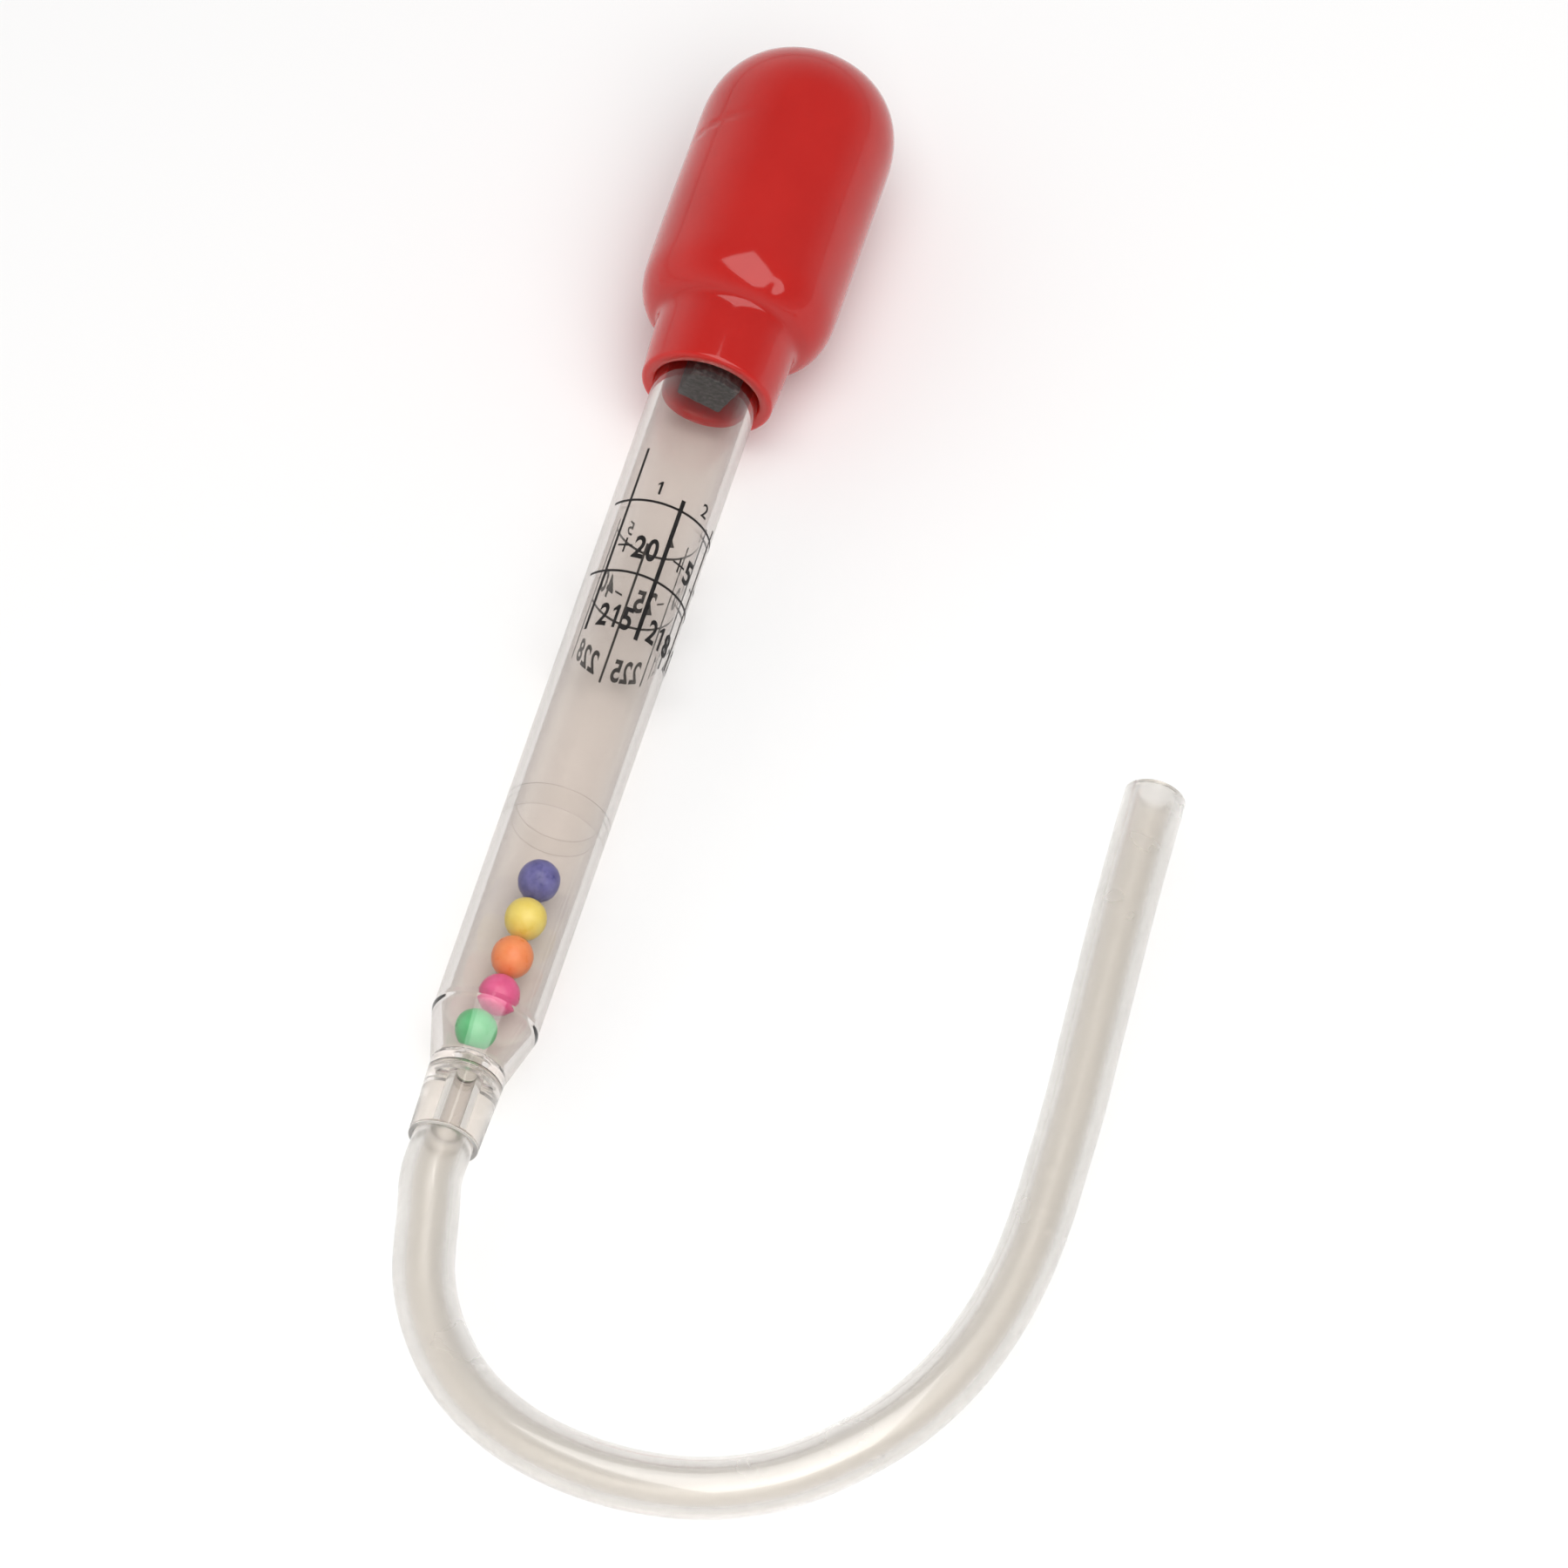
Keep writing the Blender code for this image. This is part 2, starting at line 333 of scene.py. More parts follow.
def frames_along(path):
    """The direction and one side vector at each point, carried along without twist."""
    ways = []
    for index in range(len(path)):
        before = path[max(index - 1, 0)]
        after = path[min(index + 1, len(path) - 1)]
        ways.append((after - before).normalized())
    side = ways[0].orthogonal().normalized()
    frames = []
    for way in ways:
        side = (side - way * side.dot(way)).normalized()
        frames.append((way, side))
    return frames


# ---------------------------------------------------------------- materials

def new_material(name):
    made = bpy.data.materials.new(name)
    made.use_nodes = True
    tree = made.node_tree
    return made, tree, tree.nodes["Principled BSDF"]


def noise(tree, scale, detail=4.0, rough=0.5, stretch=(1.0, 1.0, 1.0)):
    place = tree.nodes.new("ShaderNodeTexCoord")
    mapping = tree.nodes.new("ShaderNodeMapping")
    mapping.inputs["Scale"].default_value = stretch
    texture = tree.nodes.new("ShaderNodeTexNoise")
    texture.inputs["Scale"].default_value = scale
    texture.inputs["Detail"].default_value = detail
    texture.inputs["Roughness"].default_value = rough
    tree.links.new(place.outputs["Object"], mapping.inputs["Vector"])
    tree.links.new(mapping.outputs["Vector"], texture.inputs["Vector"])
    return texture.outputs["Fac"]


def ramp(tree, value, stops):
    """A colour that runs between two stops, each a position and a colour."""
    node = tree.nodes.new("ShaderNodeValToRGB")
    for element, (position, colour) in zip(node.color_ramp.elements, stops):
        element.position = position
        element.color = (*colour, 1.0)
    tree.links.new(value, node.inputs["Fac"])
    return node.outputs["Color"]


def between(tree, value, low, high):
    """Maps a value from 0 to 1 to the stretch from low to high."""
    node = tree.nodes.new("ShaderNodeMapRange")
    node.inputs["To Min"].default_value = low
    node.inputs["To Max"].default_value = high
    tree.links.new(value, node.inputs["Value"])
    return node.outputs["Result"]


def bump(tree, shader, value, strength, distance):
    node = tree.nodes.new("ShaderNodeBump")
    node.inputs["Strength"].default_value = strength
    node.inputs["Distance"].default_value = distance
    tree.links.new(value, node.inputs["Height"])
    tree.links.new(node.outputs["Normal"], shader.inputs["Normal"])


def let_lamps_through(tree, shader, tint):
    """Rays from lamps pass the clear wall instead of being stopped by it."""
    output = tree.nodes["Material Output"]
    path = tree.nodes.new("ShaderNodeLightPath")
    mix = tree.nodes.new("ShaderNodeMixShader")
    clear = tree.nodes.new("ShaderNodeBsdfTransparent")
    clear.inputs["Color"].default_value = (*tint, 1.0)
    tree.links.new(path.outputs["Is Shadow Ray"], mix.inputs["Fac"])
    tree.links.new(shader.outputs["BSDF"], mix.inputs[1])
    tree.links.new(clear.outputs["BSDF"], mix.inputs[2])
    tree.links.new(mix.outputs["Shader"], output.inputs["Surface"])


def facing_shade_and_sheen(tree, shader, face_on, edge_on):
    """Painted shade and sheen: the clear wall's colour runs from face_on to edge_on as it turns edge
    on.
    """
    weight = tree.nodes.new("ShaderNodeLayerWeight")
    weight.inputs["Blend"].default_value = 0.5
    colour = ramp(tree, weight.outputs["Facing"], [(0.35, face_on), (0.8, edge_on)])
    tree.links.new(colour, shader.inputs["Base Color"])


def contact():
    """Faces pressed or cemented together, which light crosses as if the plastic were one piece."""
    made, tree, shader = new_material("contact_look")
    shader.inputs["Base Color"].default_value = (0.97, 0.97, 0.965, 1.0)
    shader.inputs["Transmission Weight"].default_value = 1.0
    shader.inputs["Roughness"].default_value = 0.0
    shader.inputs["IOR"].default_value = 1.0
    let_lamps_through(tree, shader, (0.98, 0.98, 0.98))
    return made


def frosted_plastic():
    """The moulded rim of the collar, which is matt."""
    made, tree, shader = new_material("frosted_plastic_look")
    shader.inputs["Base Color"].default_value = (0.93, 0.91, 0.89, 1.0)
    shader.inputs["Transmission Weight"].default_value = 0.75
    shader.inputs["IOR"].default_value = 1.49
    grain = noise(tree, 1400.0, detail=3.0)
    tree.links.new(between(tree, grain, 0.45, 0.7), shader.inputs["Roughness"])
    let_lamps_through(tree, shader, (0.9, 0.89, 0.88))
    return made


def clear_plastic():
    made, tree, shader = new_material("clear_plastic_look")
    # Painted shade: the tint darkens what is seen through the barrel and chamber, most where the wall
    # is seen edge on.
    facing_shade_and_sheen(tree, shader, (0.80, 0.762, 0.735), (0.47, 0.44, 0.42))
    shader.inputs["Transmission Weight"].default_value = 1.0
    shader.inputs["IOR"].default_value = 1.49
    smudges = noise(tree, 160.0, detail=3.0)
    tree.links.new(between(tree, smudges, 0.0, 0.05), shader.inputs["Roughness"])
    streaks = noise(tree, 600.0, detail=2.0, stretch=(1.0, 0.02, 1.0))
    bump(tree, shader, streaks, 0.03, 0.0002)
    let_lamps_through(tree, shader, (0.95, 0.94, 0.93))
    return made


def clear_vinyl():
    made, tree, shader = new_material("clear_vinyl_look")
    # Painted shade and sheen: the tint darkens the hose face on and is lighter edge on, a painted sheen
    # along its flanks.
    facing_shade_and_sheen(tree, shader, (0.805, 0.78, 0.745), (0.87, 0.855, 0.835))
    shader.inputs["Transmission Weight"].default_value = 1.0
    shader.inputs["IOR"].default_value = 1.5
    haze = noise(tree, 90.0, detail=3.0)
    tree.links.new(between(tree, haze, 0.16, 0.34), shader.inputs["Roughness"])
    shader.inputs["Coat Weight"].default_value = 0.8
    shader.inputs["Coat Roughness"].default_value = 0.04
    let_lamps_through(tree, shader, (0.95, 0.945, 0.94))
    return made


def red_vinyl():
    made, tree, shader = new_material("red_vinyl_look")
    patches = noise(tree, 60.0, detail=5.0)
    colour = ramp(tree, patches, [(0.3, (0.435, 0.008, 0.0055)), (0.75, (0.505, 0.013, 0.009))])
    tree.links.new(colour, shader.inputs["Base Color"])
    tree.links.new(between(tree, patches, 0.06, 0.16), shader.inputs["Roughness"])
    shader.inputs["Specular IOR Level"].default_value = 0.45
    shader.inputs["Subsurface Weight"].default_value = 0.4
    shader.inputs["Subsurface Radius"].default_value = (0.005, 0.0008, 0.0006)
    shader.inputs["Subsurface Scale"].default_value = 1.0
    bump(tree, shader, noise(tree, 900.0, detail=2.0), 0.03, 0.0001)
    return made


def grey_rubber():
    made, tree, shader = new_material("grey_rubber_look")
    grain = noise(tree, 1500.0, detail=6.0, rough=0.7)
    colour = ramp(tree, grain, [(0.44, (0.010, 0.009, 0.010)), (0.61, (0.080, 0.076, 0.076))])
    tree.links.new(colour, shader.inputs["Base Color"])
    tree.links.new(between(tree, grain, 0.25, 0.75), shader.inputs["Roughness"])
    bump(tree, shader, grain, 0.8, 0.0003)
    return made


def ball_plastic(name, dark, light):
    made, tree, shader = new_material(name)
    speckle = noise(tree, 700.0, detail=5.0, rough=0.6)
    tree.links.new(ramp(tree, speckle, [(0.3, dark), (0.7, light)]), shader.inputs["Base Color"])
    tree.links.new(between(tree, speckle, 0.15, 0.5), shader.inputs["Roughness"])
    shader.inputs["Subsurface Weight"].default_value = 0.2
    shader.inputs["Subsurface Radius"].default_value = (0.001, 0.001, 0.001)
    shader.inputs["Subsurface Scale"].default_value = 1.0
    bump(tree, shader, speckle, 0.15, 0.0001)
    return made


def black_ink():
    made, tree, shader = new_material("black_ink_look")
    wear = noise(tree, 1200.0, detail=4.0)
    colour = ramp(tree, wear, [(0.3, (0.004, 0.003, 0.003)), (0.8, (0.020, 0.017, 0.017))])
    tree.links.new(colour, shader.inputs["Base Color"])
    tree.links.new(between(tree, wear, 0.35, 0.6), shader.inputs["Roughness"])
    shader.inputs["Specular IOR Level"].default_value = 0.25
    return made


# ---------------------------------------------------------------- the hose

def hose_path():
    inside = MOUTH + AXIS * HOSE_IN_COLLAR
    stub_end = MOUTH - AXIS * HOSE_STUB
    laid = [Vector((x, MOUTH.y + y, z)) for x, y, z in HOSE_ROUTE]
    route = [inside, MOUTH + AXIS * HOSE_IN_COLLAR / 2, MOUTH, stub_end] + laid
    return smooth_route(route, HOSE_STEPS)


def make_hose(look, touch_look):
    path = hose_path()
    frames = frames_along(path)
    edge = HOSE_EDGE

    def hoop(index, radius, shift=0.0):
        way, side = frames[index]
        across = way.cross(side)
        middle = path[index] + way * shift
        return [middle + (side * math.cos(a) + across * math.sin(a)) * radius
                for a in turns(HOSE_SEGMENTS)]

    last = len(path) - 1
    rings = [hoop(0, HOSE_R - edge), hoop(0, HOSE_R, edge)]
    rings += [hoop(i, HOSE_R) for i in range(1, last)]
    rings += [hoop(last, HOSE_R, -edge), hoop(last, HOSE_R - edge)]
    rings += [hoop(last, HOSE_BORE_R + edge), hoop(last, HOSE_BORE_R, -edge)]
    rings += [hoop(i, HOSE_BORE_R) for i in range(last - 1, 0, -1)]
    rings += [hoop(0, HOSE_BORE_R, edge), hoop(0, HOSE_BORE_R + edge)]
    mesh = skin("suction_hose", rings)
    smooth(mesh)
    hose = new_object("suction_hose", mesh, look)
    mesh.materials.append(touch_look)
    for face in mesh.polygons:
        spots = [mesh.vertices[i].co - MOUTH for i in face.vertices]
        stations = [spot.dot(AXIS) for spot in spots]
        held = max(spot.length for spot in spots) < HOSE_HELD_WITHIN
        if held and min(stations) > TOUCH_MARGIN and max(stations) < HOSE_IN_COLLAR - 2 * TOUCH_MARGIN:
            face.material_index = 1
    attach(hose, BODY)
    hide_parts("hose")


# ---------------------------------------------------------------- barrel and chamber

def make_barrel(look, touch_look):
    spigot_r = LAP_R - LAP_GAP
    spigot_end = JOINT_AT - LAP_LENGTH + LAP_GAP
    corners = [(BARREL_R, BARREL_END_AT, RIM_ROUND), (BARREL_R, JOINT_AT + LAP_GAP, JOINT_ROUND),
               (spigot_r, JOINT_AT + LAP_GAP, 0), (spigot_r, spigot_end, FINE_ROUND),
               (BORE_R, spigot_end, STEP_ROUND), (BORE_R, BARREL_END_AT, RIM_ROUND)]
    touching = [(BORE_R + TOUCH_NARROW, BARREL_R - TOUCH_MARGIN, 0, JOINT_AT + TOUCH_NARROW)]
    barrel = turned("clear_barrel", corners, look, [(touch_look, touching)])
    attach(barrel, BODY)
    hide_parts("barrel_tube")


def make_chamber(look, touch_look, rim_look):
    socket_r = LAP_R + LAP_GAP
    socket_floor = JOINT_AT - LAP_LENGTH - LAP_GAP
    corners = [(BARREL_R, JOINT_AT, JOINT_ROUND), (BARREL_R, CORNER_AT + CORNER_RAMP, RAMP_ROUND),
               (CORNER_R, CORNER_AT, OUTER_CORNER_ROUND), (SHOULDER_R, SHOULDER_AT, SHOULDER_ROUND),
               (COLLAR_R, 0.0, COLLAR_RIM_ROUND), (COLLAR_BORE_R, 0.0, COLLAR_BORE_ROUND),
               (COLLAR_BORE_R, FLOOR_BOTTOM_AT, RIM_ROUND), (NIPPLE_R, FLOOR_BOTTOM_AT, RIM_ROUND),
               (NIPPLE_R, NIPPLE_END_AT, NIPPLE_ROUND), (NIPPLE_BORE_R, NIPPLE_END_AT, NIPPLE_ROUND),
               (NIPPLE_BORE_R, FLOOR_TOP_AT, RIM_ROUND), (FLOOR_R, FLOOR_TOP_AT, FLOOR_ROUND),
               (BORE_R, CORNER_AT, CONE_ROUND), (BORE_R, socket_floor, STEP_ROUND),
               (socket_r, socket_floor, 0), (socket_r, JOINT_AT, FINE_ROUND)]
    touching = [(BORE_R + TOUCH_NARROW, BARREL_R - TOUCH_MARGIN, socket_floor - TOUCH_NARROW, math.inf)]
    touching += [(radius - TOUCH_MARGIN, radius + TOUCH_MARGIN, start + 2 * TOUCH_MARGIN, TOUCH_END_AT)
                 for radius, start in ((COLLAR_BORE_R, 0.0), (NIPPLE_R, NIPPLE_END_AT))]
    rim = [(COLLAR_BORE_R, COLLAR_R + TOUCH_MARGIN, -TOUCH_MARGIN, COLLAR_BORE_ROUND)]
    chamber = turned("clear_chamber", corners, look, [(touch_look, touching), (rim_look, rim)])
    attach(chamber, BODY)
    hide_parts("ball_chamber")


# ---------------------------------------------------------------- print on the barrel

# Turns run round the barrel, from the side that faces the camera; a number reads along with them.
PRINT_FACING = math.radians(11.1)
PRINT_LIFT = 0.00001
PRINT_DEPTH = 0.00003
PRINT_CUT = 0.0004                # arc between the cuts that let the print bend
PRINT_WELD = 1e-7                 # points closer than this become one
LINE_WIDTH = 0.00035
HEAVY_LINE_WIDTH = 0.00056
COLUMN_TURNS = (-41.0, 16.0, 73.0, 130.0, 187.0, 244.0)
COLUMN_LOW_AT = 0.0752
COLUMN_HIGH_AT = 0.0972
FIRST_COLUMN_HIGH_AT = 0.1038
HEAVY_COLUMN = 1
RING_AT = (0.08445, 0.0956)
RING_FROM, RING_TO = -64.0, 244.0
ROWS = (
    # centre station, numeral height, pitch, weight, numbers
    (0.0978, 0.0020, 0.00125, 0.012, ("1", "2", "3", "4", "5")),
    (0.0885, 0.0035, 0.00170, 0.026, ("+20", "+5", "\u221210", "\u221225", "\u221240")),
    (0.0776, 0.0035, 0.00155, 0.026, ("215", "218", "221", "225", "228")),
)

GLYPH_GAP = 0.07                  # a share of the pitch, left free at each side
# Strokes drawn as outlines, in shares of the glyph's width and height
STROKES = {
    "1": ((0.46, 0.0), (0.74, 0.0), (0.74, 1.0), (0.52, 1.0), (0.16, 0.80), (0.16, 0.68),
          (0.46, 0.77)),
    "+": ((-0.35, 0.46), (0.26, 0.46), (0.26, 0.18), (0.42, 0.18), (0.42, 0.46), (1.0, 0.46),
          (1.0, 0.54), (0.42, 0.54), (0.42, 0.82), (0.26, 0.82), (0.26, 0.54), (-0.35, 0.54)),
    "\u2212": ((0.08, 0.45), (0.92, 0.45), (0.92, 0.53), (0.08, 0.53)),
}


def wrapped(across, along, radius):
    """A flat point of the print, laid round the barrel. across is an arc length."""
    turn = across / BARREL_R + PRINT_FACING
    return Vector((radius * math.sin(turn), -radius * math.cos(turn), along))


def lay_print(flat):
    """Wraps a flat bmesh (X round the barrel, Y up it) and gives it the ink's depth."""
    low = min(v.co.x for v in flat.verts)
    high = max(v.co.x for v in flat.verts)
    for index in range(1, int((high - low) / PRINT_CUT) + 1):
        geom = flat.verts[:] + flat.edges[:] + flat.faces[:]
        bmesh.ops.bisect_plane(flat, geom=geom, dist=1e-8, plane_no=(1, 0, 0),
                               plane_co=(low + index * PRINT_CUT, 0, 0))
    top = bmesh.ops.extrude_face_region(flat, geom=flat.faces[:])["geom"]
    lifted = {v for v in top if isinstance(v, bmesh.types.BMVert)}
    for vert in flat.verts:
        radius = BARREL_R + PRINT_LIFT + (PRINT_DEPTH if vert in lifted else 0)
        vert.co = wrapped(vert.co.x, vert.co.y, radius)
    bmesh.ops.recalc_face_normals(flat, faces=flat.faces)


def add_face(flat, corners):
    flat.faces.new([flat.verts.new((x, y, 0)) for x, y in corners])


def add_rectangle(flat, x_low, x_high, y_low, y_high):
    add_face(flat, ((x_low, y_low), (x_high, y_low), (x_high, y_high), (x_low, y_high)))


def add_glyph(flat, character, low, high, weight):
    """One numeral from the plain built-in font, fitted between two corners."""
    curve = bpy.data.curves.new("numeral", "FONT")
    curve.body = character
    curve.offset = weight
    curve.resolution_u = 6
    holder = bpy.data.objects.new("numeral", curve)
    bpy.context.scene.collection.objects.link(holder)
    bpy.context.view_layer.update()
    mesh = bpy.data.meshes.new_from_object(holder)
    bpy.data.objects.remove(holder)
    bpy.data.curves.remove(curve)
    xs = [v.co.x for v in mesh.vertices]
    ys = [v.co.y for v in mesh.vertices]
    for vert in mesh.vertices:
        vert.co.x = low[0] + (high[0] - low[0]) * (vert.co.x - min(xs)) / (max(xs) - min(xs))
        vert.co.y = low[1] + (high[1] - low[1]) * (vert.co.y - min(ys)) / (max(ys) - min(ys))
    flat.from_mesh(mesh)
    bpy.data.meshes.remove(mesh)


def add_number(flat, text, x, y, height, pitch, weight):
    """A number centred on x and y, with its signs and ones drawn as plain strokes."""
    for index, character in enumerate(text):
        left = x + (index - len(text) / 2) * pitch
        low = (left + GLYPH_GAP * pitch, y - height / 2)
        high = (left + (1 - GLYPH_GAP) * pitch, y + height / 2)
        if character in STROKES:
            add_face(flat, [(low[0] + (high[0] - low[0]) * across, low[1] + (high[1] - low[1]) * up)
                            for across, up in STROKES[character]])
        else:
            add_glyph(flat, character, low, high, weight)


def finish_print(name, flat, look):
    bmesh.ops.remove_doubles(flat, verts=flat.verts, dist=PRINT_WELD)
    lay_print(flat)
    mesh = bpy.data.meshes.new(name)
    flat.to_mesh(mesh)
    flat.free()
    mesh.transform(axis_matrix())
    printed = new_object(name, mesh, look)
    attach(printed, BODY)


def arc(degrees):
    return math.radians(degrees) * BARREL_R


def make_print(look):
    for index, turn in enumerate(COLUMN_TURNS):
        flat = bmesh.new()
        half = (HEAVY_LINE_WIDTH if index == HEAVY_COLUMN else LINE_WIDTH) / 2
        high = FIRST_COLUMN_HIGH_AT if index == 0 else COLUMN_HIGH_AT
        add_rectangle(flat, arc(turn) - half, arc(turn) + half, COLUMN_LOW_AT, high)
        finish_print(f"print_column_{index + 1}", flat, look)
    for index, station in enumerate(RING_AT):
        flat = bmesh.new()
        half = LINE_WIDTH / 2
        add_rectangle(flat, arc(RING_FROM), arc(RING_TO), station - half, station + half)
        finish_print(f"print_ring_{index + 1}", flat, look)
    for index, (station, height, pitch, weight, numbers) in enumerate(ROWS):
        flat = bmesh.new()
        for column, text in enumerate(numbers):
            middle = (COLUMN_TURNS[column] + COLUMN_TURNS[column + 1]) / 2
            add_number(flat, text, arc(middle), station, height, pitch, weight)
        finish_print(f"print_numbers_{index + 1}", flat, look)


# ---------------------------------------------------------------- squeeze bulb

def quarter(steps):
    """The angles of a quarter turn, without its start."""
    return [math.pi / 2 * step / steps for step in range(1, steps + 1)]


def dome(radius, steps):
    """A superellipse's quarter as (radius, station), from its top to DOME_AT."""
    points = []
    for angle in quarter(steps):
        across = math.sin(angle) ** (2 / DOME_POWER)
        along = max(math.cos(angle), 0.0) ** (2 / DOME_POWER)
        points.append((radius * across, DOME_AT + radius * along))
    return points


def bulb_outside():
    """The bulb's outline as (radius, station), from its dome to its lip."""
    outside = dome(BULB_R, 40)
    outside += [(BULB_R, DOME_AT + (BODY_AT - DOME_AT) * i / 40) for i in range(1, 41)]
    outside += [(PINCH_R + (BULB_R - PINCH_R) * math.cos(angle),
                 BODY_AT - (BODY_AT - PINCH_AT) * math.sin(angle)) for angle in quarter(24)]
    for share in [i / 20 for i in range(1, 21)]:
        swell = NECK_SWELL * math.sin(math.pi * share)
        outside.append((PINCH_R + (BULB_LIP_R - PINCH_R) * share + swell,
                        PINCH_AT + (BULB_MOUTH_AT + BULB_LIP_ROUND - PINCH_AT) * share))
    for _ in range(PINCH_SOFTEN):
        outside = [outside[0]] + [
            ((a[0] + 2 * b[0] + c[0]) / 4, (a[1] + 2 * b[1] + c[1]) / 4)
            for a, b, c in zip(outside, outside[1:], outside[2:])] + [outside[-1]]
    outside += [(BULB_LIP_R - BULB_LIP_ROUND * (1 - math.cos(angle)),
                 BULB_MOUTH_AT + BULB_LIP_ROUND * (1 - math.sin(angle))) for angle in quarter(8)]
    return outside


def handled(point):
    """Soft vinyl isn't quite true: it waves, leans at the dome and has handling marks."""
    radius = math.hypot(point.x, point.y)
    turn = math.atan2(point.x, -point.y)
    body = min(max((point.z - PINCH_AT) / (BODY_AT - PINCH_AT), 0.0), 1.0)
    change = BULB_WAVE * body * turbulence.noise(point * BULB_WAVE_SCALE)
    along = (turn - FOLD_FROM[0]) / (FOLD_TO[0] - FOLD_FROM[0])
    line = FOLD_FROM[1] + (FOLD_TO[1] - FOLD_FROM[1]) * along
    fade = math.exp(-((along - FOLD_MIDDLE) / FOLD_REACH) ** 4)
    change -= FOLD_DEPTH * fade * math.exp(-((point.z - line) / FOLD_WIDTH) ** 2)
    for mark_turn, station, width, rise in MARKS:
        away = math.hypot((turn - mark_turn) * radius, point.z - station)
        change += rise * math.exp(-(away / width) ** 2)
    outward = Vector((point.x, point.y, 0)) / radius if radius > 0 else Vector()
    lean = min(max((point.z - DOME_LEAN_FROM) / DOME_LEAN_LENGTH, 0.0), DOME_LEAN_MOST)
    return point + outward * change + Vector((DOME_LEAN * lean, 0, 0))


def make_bulb(look):
    inner_r = BULB_R - BULB_WALL
    inside = [(BULB_NECK_BORE_R + BULB_NECK_ROUND, BULB_MOUTH_AT),
              (BULB_NECK_BORE_R, BULB_MOUTH_AT + BULB_NECK_ROUND),
              (BULB_NECK_BORE_R, BARREL_END_AT + BULB_NECK_ABOVE_BARREL),
              (inner_r, BODY_AT + BULB_WALL)]
    inside += dome(inner_r, 16)[::-1]
    rings = [[handled(point) for point in ring(r, s, BULB_SEGMENTS)] for r, s in bulb_outside()]
    rings += [ring(r, s, BULB_SEGMENTS) for r, s in inside]
    poles = (handled(Vector((0, 0, DOME_AT + BULB_R))), Vector((0, 0, DOME_AT + inner_r)))
    mesh = skin("red_squeeze_bulb", rings, poles)
    mesh.transform(axis_matrix())
    smooth(mesh, BULB_SHARP_ANGLE)
    bulb = new_object("red_squeeze_bulb", mesh, look)
    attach(bulb, BODY)
    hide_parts("squeeze_bulb")


# ---------------------------------------------------------------- stop block

def make_stop(look):
    low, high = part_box("ball_stop")
    centre = (low + high) / 2
    bm = bmesh.new()
    bmesh.ops.create_cube(bm, size=1.0)
    bmesh.ops.subdivide_edges(bm, edges=bm.edges, cuts=STOP_CUTS, use_grid_fill=True)
    size = Vector((STOP_SIDE, STOP_SIDE, STOP_LENGTH))
    coarse, fine = STOP_GRAIN_SCALES
    for vert in bm.verts:
        place = vert.co * size
        core = Vector([max(-s / 2 + STOP_ROUND, min(s / 2 - STOP_ROUND, c))
                       for s, c in zip(size, place)])
        out = (place - core).normalized() * STOP_ROUND if (place - core).length > 0 else Vector()
        grain = turbulence.noise(place * coarse) * STOP_GRAIN
        grain += turbulence.noise(place * fine) * STOP_GRAIN / 2
        vert.co = core + out * (1 + grain / STOP_ROUND)
    mesh = bpy.data.meshes.new("rubber_stop")
    bm.to_mesh(mesh)
    bm.free()
    mesh.transform(Matrix.Rotation(STOP_TURN, 4, "Z"))
    mesh.transform(Matrix.Translation(centre) @ TESTER_TURN)
    smooth(mesh)
    stop = new_object("rubber_stop", mesh, look)
    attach(stop, BODY)
    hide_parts("ball_stop")


# ---------------------------------------------------------------- balls

# Each ball's darkest and lightest colour
BALL_COLOURS = {
    "green": ((0.10, 0.50, 0.20), (0.15, 0.62, 0.28)),
    "pink": ((0.72, 0.07, 0.24), (0.82, 0.13, 0.34)),
    "orange": ((0.88, 0.24, 0.06), (0.95, 0.33, 0.12)),
    "yellow": ((0.82, 0.66, 0.10), (0.90, 0.78, 0.20)),
    "blue": ((0.065, 0.065, 0.27), (0.18, 0.18, 0.47)),
}
BALL_TURNS = {"green": 0.4, "pink": 2.1, "orange": 1.2, "yellow": 0.8, "blue": 2.8}
BALL_TURN_AXIS = (0.6, 0.5, 0.62)
SEAM_RISE = 0.00002
SEAM_WIDTH = 0.04                 # a share of the ball's radius
BALL_GRAIN = 0.000012
BALL_GRAIN_SCALE = 1800


def make_balls():
    for colour, (dark, light) in BALL_COLOURS.items():
        low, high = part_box(f"ball_{colour}")
        bm = bmesh.new()
        bmesh.ops.create_uvsphere(bm, u_segments=96, v_segments=72, radius=(high.x - low.x) / 2)
        turn = Matrix.Rotation(BALL_TURNS[colour], 4, BALL_TURN_AXIS)
        for vert in bm.verts:
            height = vert.co.z / BALL_R
            seam = SEAM_RISE * math.exp(-(height / SEAM_WIDTH) ** 2)
            grain = BALL_GRAIN * turbulence.noise(vert.co * BALL_GRAIN_SCALE)
            vert.co *= 1 - SEAM_RISE / BALL_R + (seam + grain) / BALL_R
        mesh = bpy.data.meshes.new(f"float_{colour}")
        bm.to_mesh(mesh)
        bm.free()
        mesh.transform(Matrix.Translation((low + high) / 2) @ turn)
        smooth(mesh)
        ball = new_object(f"float_{colour}", mesh, ball_plastic(f"{colour}_look", dark, light))
        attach(ball, f"{colour}_ball")
        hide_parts(f"ball_{colour}")


# ---------------------------------------------------------------- stage

def make_camera():
    data = bpy.data.cameras.new("camera")
    data.lens = CAMERA_LENS
    data.sensor_width = CAMERA_SENSOR
    data.clip_start, data.clip_end = CAMERA_CLIP
    camera = bpy.data.objects.new("camera", data)
    bpy.context.scene.collection.objects.link(camera)
    back = Vector((math.sin(CAMERA_AZIMUTH) * math.cos(CAMERA_ELEVATION),
                   -math.cos(CAMERA_AZIMUTH) * math.cos(CAMERA_ELEVATION),
                   math.sin(CAMERA_ELEVATION)))
    camera.location = CAMERA_AIM + back * CAMERA_DISTANCE
    camera.rotation_euler = (-back).to_track_quat("-Z", "Y").to_euler()
    bpy.context.scene.camera = camera


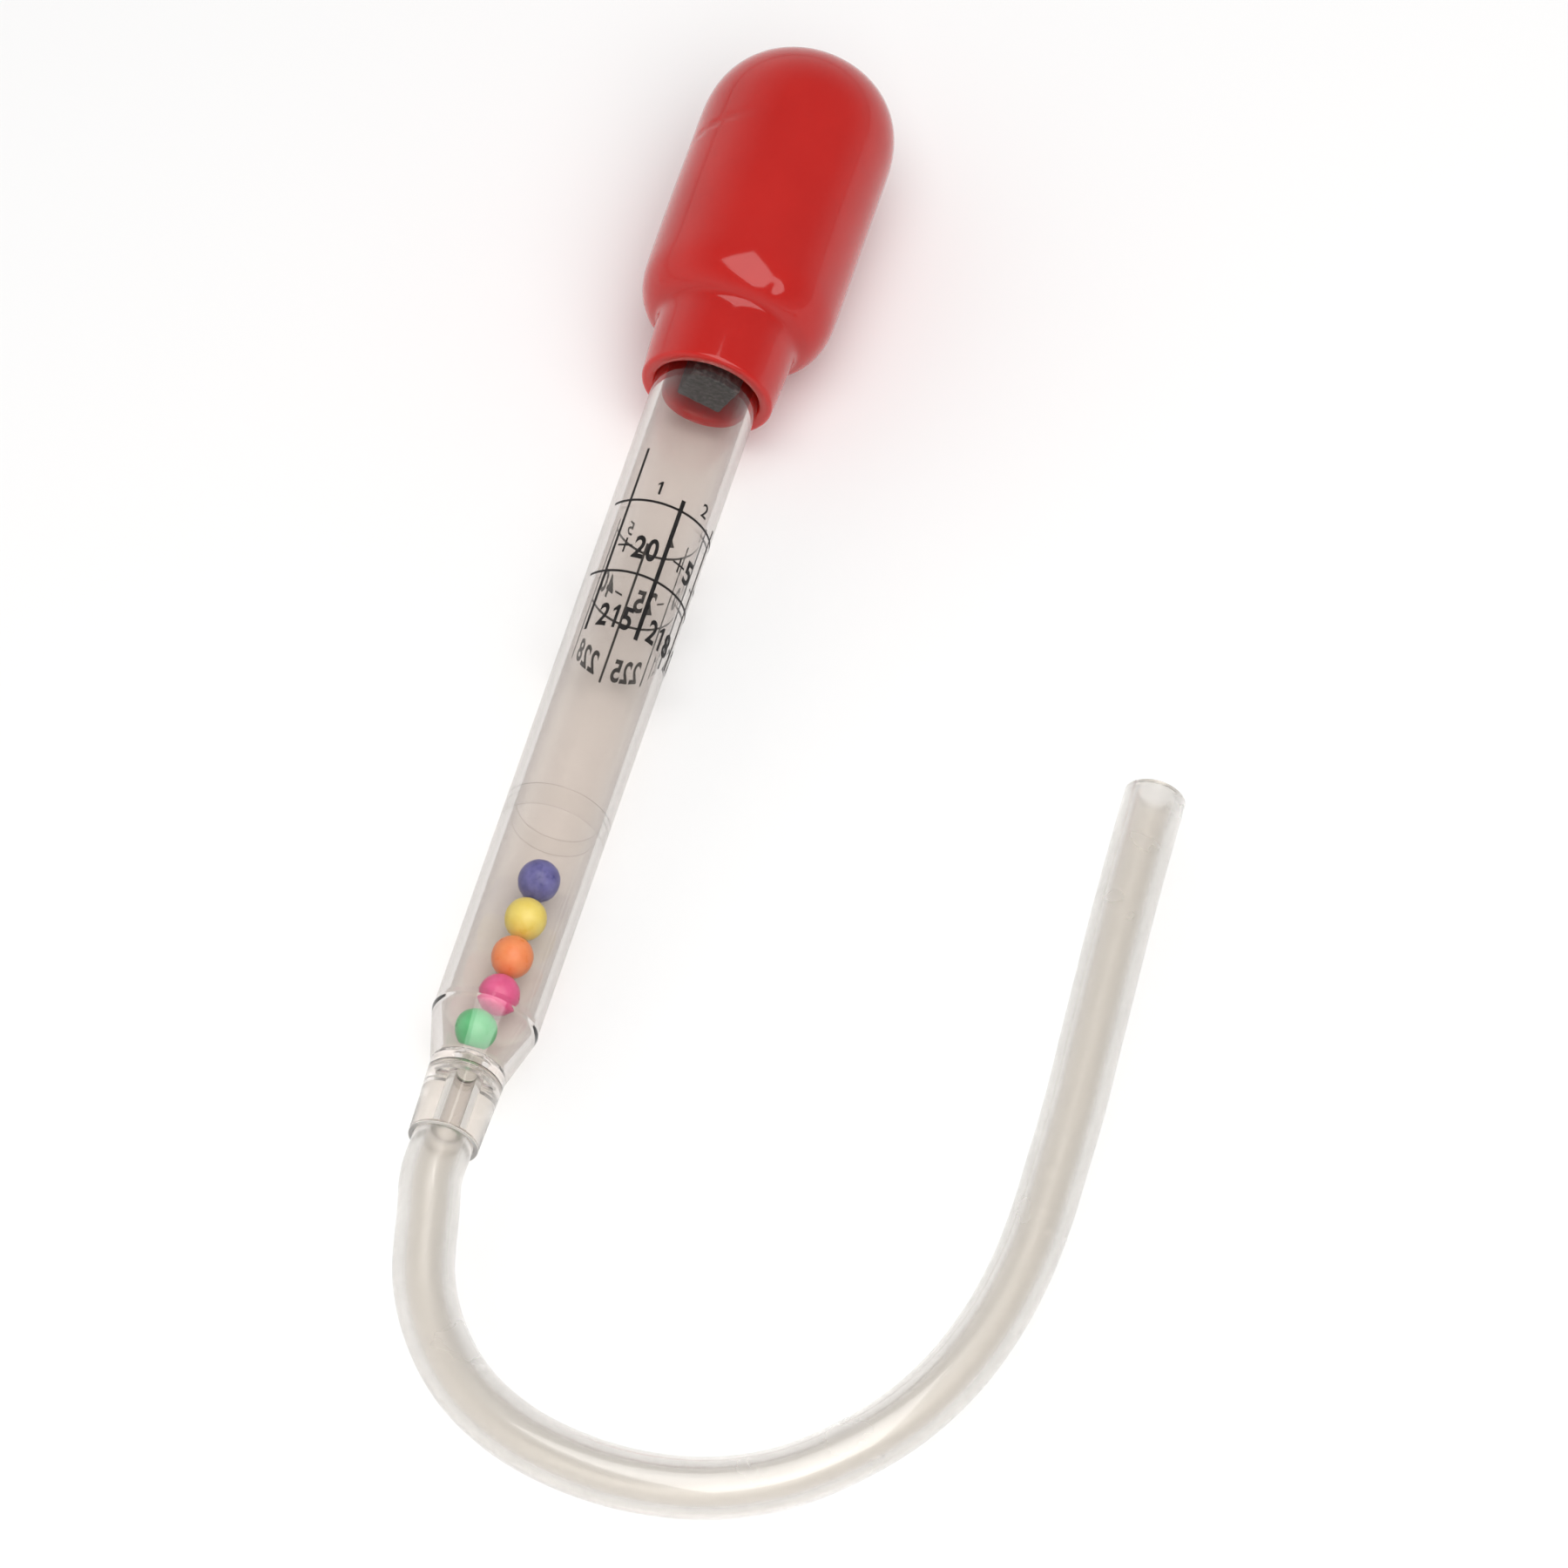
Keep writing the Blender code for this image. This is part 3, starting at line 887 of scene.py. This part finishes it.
def make_lamp():
    data = bpy.data.lights.new("overhead", "AREA")
    data.shape = "RECTANGLE"
    data.size, data.size_y = LAMP_SIZE
    data.energy = LAMP_POWER
    light = bpy.data.objects.new("overhead", data)
    bpy.context.scene.collection.objects.link(light)
    light.location = LAMP_PLACE
    way = Vector(LAMP_AIM) - Vector(LAMP_PLACE)
    light.rotation_euler = way.to_track_quat("-Z", "Y").to_euler()


def make_floor():
    made, _, shader = new_material("floor_look")
    shader.inputs["Base Color"].default_value = (0.9, 0.9, 0.9, 1.0)
    shader.inputs["Roughness"].default_value = 0.9
    shader.inputs["Specular IOR Level"].default_value = 0.1
    mesh = bpy.data.meshes.new("floor")
    half = FLOOR_HALF
    mesh.from_pydata([(-half, -half, 0), (half, -half, 0), (half, half, 0), (-half, half, 0)],
                     [], [(0, 1, 2, 3)])
    floor = new_object("floor", mesh, made)
    floor.location.z = -FLOOR_DROP


def make_world():
    world = bpy.data.worlds.new("studio")
    world.use_nodes = True
    tree = world.node_tree
    place = tree.nodes.new("ShaderNodeTexCoord")
    away = tree.nodes.new("ShaderNodeVectorMath")
    away.operation = "DOT_PRODUCT"
    away.inputs[1].default_value = TENT_DARK_SIDE
    tree.links.new(place.outputs["Generated"], away.inputs[0])
    tent = ramp(tree, away.outputs["Value"],
                [(0.0, (1.0, 0.99, 0.98)), (0.65, (0.40, 0.396, 0.392))])
    tree.links.new(tent, tree.nodes["Background"].inputs["Color"])
    tree.nodes["Background"].inputs["Strength"].default_value = 1.0
    bpy.context.scene.world = world


def set_render():
    scene = bpy.context.scene
    scene.view_settings.view_transform = "Standard"
    scene.cycles.max_bounces = 24
    scene.cycles.transmission_bounces = 24
    scene.cycles.glossy_bounces = 8
    scene.cycles.transparent_max_bounces = 32
    scene.cycles.caustics_reflective = False


def main():
    make_camera()
    touch_look = contact()
    make_hose(clear_vinyl(), touch_look)
    plastic = clear_plastic()
    make_barrel(plastic, touch_look)
    make_chamber(plastic, touch_look, frosted_plastic())
    make_print(black_ink())
    make_bulb(red_vinyl())
    make_stop(grey_rubber())
    make_balls()
    make_floor()
    make_world()
    make_lamp()
    set_render()


main()
